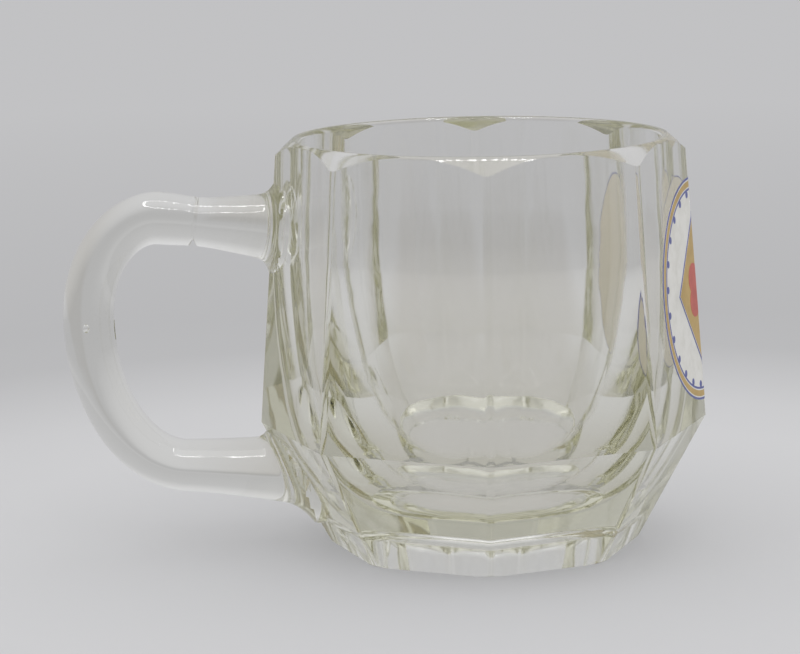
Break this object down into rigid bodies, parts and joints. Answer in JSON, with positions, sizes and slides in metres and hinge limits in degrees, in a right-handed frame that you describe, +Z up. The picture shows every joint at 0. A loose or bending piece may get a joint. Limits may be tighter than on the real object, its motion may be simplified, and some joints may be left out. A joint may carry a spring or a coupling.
{
  "type": "beer mug",
  "caption": "Faceted pressed-glass beer mug with a thick foot, a rounded lip, a solid round handle and a round enamel badge.",
  "frame": {"origin": "middle of the mug's length and width with its handle, on the level it stands on", "axes": "+Z up through the mouth, +X from the handle towards the badge, Y across the mug"},
  "size_m": [0.142, 0.0984, 0.09],
  "materials": {
    "bowl_glass": "fire-polished clear soda-lime glass with a faint yellow-green tint",
    "handle_glass": "fire-polished clear soda-lime glass",
    "white_enamel": "fired screen-printed enamel, satin",
    "ochre_enamel": "fired screen-printed enamel, satin",
    "blue_enamel": "fired screen-printed enamel, satin",
    "red_enamel": "fired screen-printed enamel, satin"
  },
  "bodies": {
    "root": {"mug_body": "bowl_glass", "handle": "handle_glass", "badge_white_ground": "white_enamel", "badge_blue_rim_line": "blue_enamel", "badge_ochre_border": "ochre_enamel", "badge_blue_beading": "blue_enamel", "badge_blue_lozenge_line": "blue_enamel", "badge_ochre_lozenge": "ochre_enamel", "badge_red_quatrefoil": "red_enamel"}
  },
  "joints": []
}
